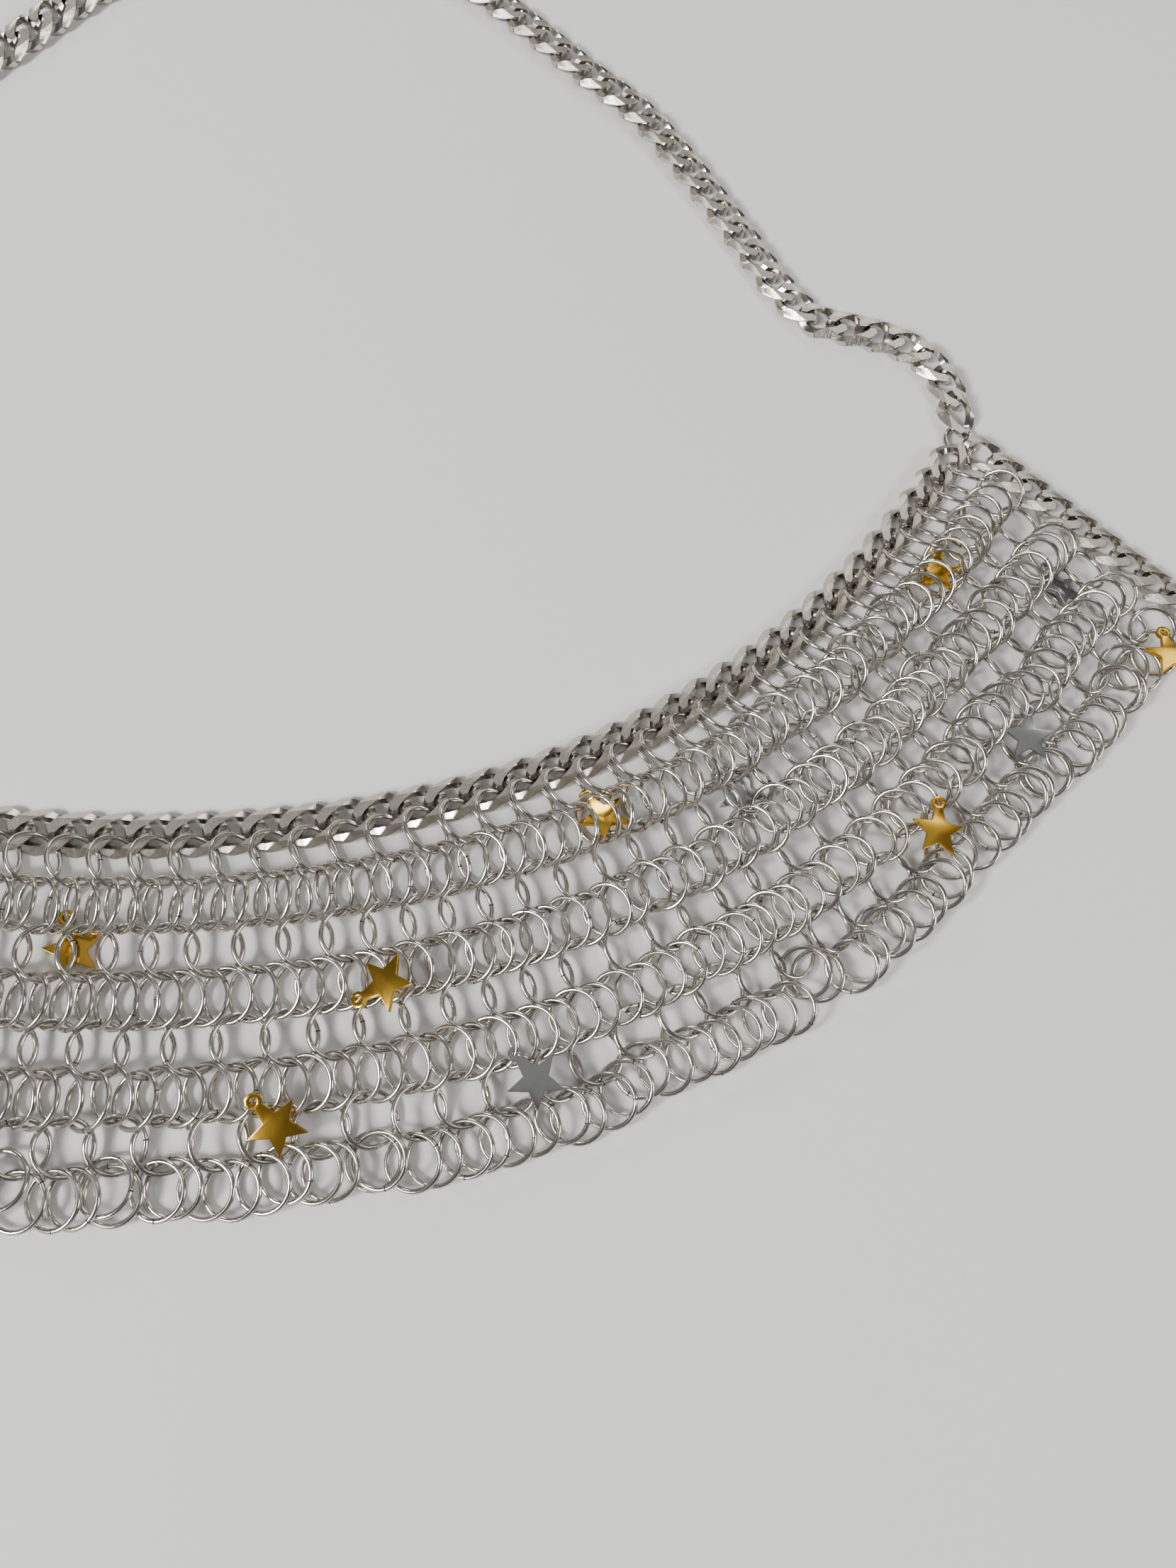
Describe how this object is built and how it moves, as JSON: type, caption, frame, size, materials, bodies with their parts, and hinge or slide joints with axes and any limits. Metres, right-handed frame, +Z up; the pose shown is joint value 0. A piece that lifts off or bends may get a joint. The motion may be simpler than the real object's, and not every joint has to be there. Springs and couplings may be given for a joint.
{
  "type": "chainmail halter top",
  "caption": "Chainmail halter top laid flat: a band of linked rings hung from a curb chain neckline, with a neck loop, side chains, a hook and star charms.",
  "frame": {"origin": "middle of the laid top's box, on the surface it lies on", "axes": "+X across the top from the wearer's right to left, +Y towards the neck loop, +Z up off the surface"},
  "size_m": [0.7168, 0.2688, 0.0092],
  "materials": {
    "steel_rings": "polished stainless steel wire with fine drawing lines",
    "steel_chain": "bright cut facets on stainless steel",
    "gold_stars": "gold coloured plating, satin",
    "steel_stars": "satin stainless steel"
  },
  "bodies": {
    "root": {"back_hook": "steel_chain", "back_ring": "steel_chain", "corner_ring_left": "steel_chain", "corner_ring_right": "steel_chain", "mail_front": "steel_rings", "neck_loop_chain": "steel_chain", "neckline_chain": "steel_chain", "side_chain_left": "steel_chain", "side_chain_right": "steel_chain", "star_gold_01": "gold_stars", "star_gold_02": "gold_stars", "star_gold_03": "gold_stars", "star_gold_04": "gold_stars", "star_gold_05": "gold_stars", "star_gold_06": "gold_stars", "star_gold_07": "gold_stars", "star_gold_12": "gold_stars", "star_gold_13": "gold_stars", "star_gold_14": "gold_stars", "star_gold_15": "gold_stars", "star_steel_08": "steel_stars", "star_steel_09": "steel_stars", "star_steel_10": "steel_stars", "star_steel_11": "steel_stars", "star_steel_16": "steel_stars", "star_steel_17": "steel_stars", "star_steel_18": "steel_stars"}
  },
  "joints": []
}
